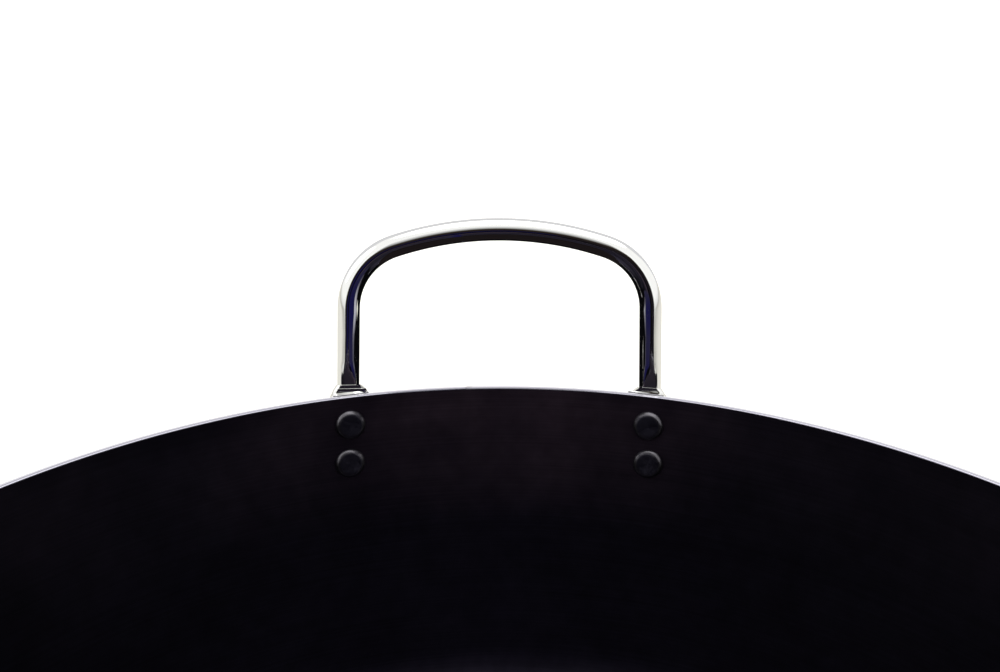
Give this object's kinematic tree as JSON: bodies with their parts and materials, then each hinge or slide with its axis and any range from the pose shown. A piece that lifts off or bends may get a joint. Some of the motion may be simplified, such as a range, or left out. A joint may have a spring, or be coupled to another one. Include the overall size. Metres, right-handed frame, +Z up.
{
  "type": "deep fry pot",
  "caption": "Wide round iron pot with a flat base, a flared wall and two riveted rod loop handles, for deep frying on a stove.",
  "frame": {"origin": "middle of the flat base, on the surface that the pot stands on", "axes": "+Z up through the mouth, a handle on +Y and a handle on -Y"},
  "size_m": [0.4498, 0.4804, 0.1907],
  "materials": {
    "pot_iron": "blackened sheet iron, satin",
    "handle_chrome": "bright chrome plate on steel rod",
    "rivet_steel": "dark steel, satin"
  },
  "bodies": {
    "root": {"pot_body": "pot_iron", "handle_back": "handle_chrome", "handle_front": "handle_chrome", "rivet_back_left_upper": "rivet_steel", "rivet_back_left_lower": "rivet_steel", "rivet_back_right_upper": "rivet_steel", "rivet_back_right_lower": "rivet_steel", "rivet_front_left_upper": "rivet_steel", "rivet_front_left_lower": "rivet_steel", "rivet_front_right_upper": "rivet_steel", "rivet_front_right_lower": "rivet_steel"}
  },
  "joints": []
}
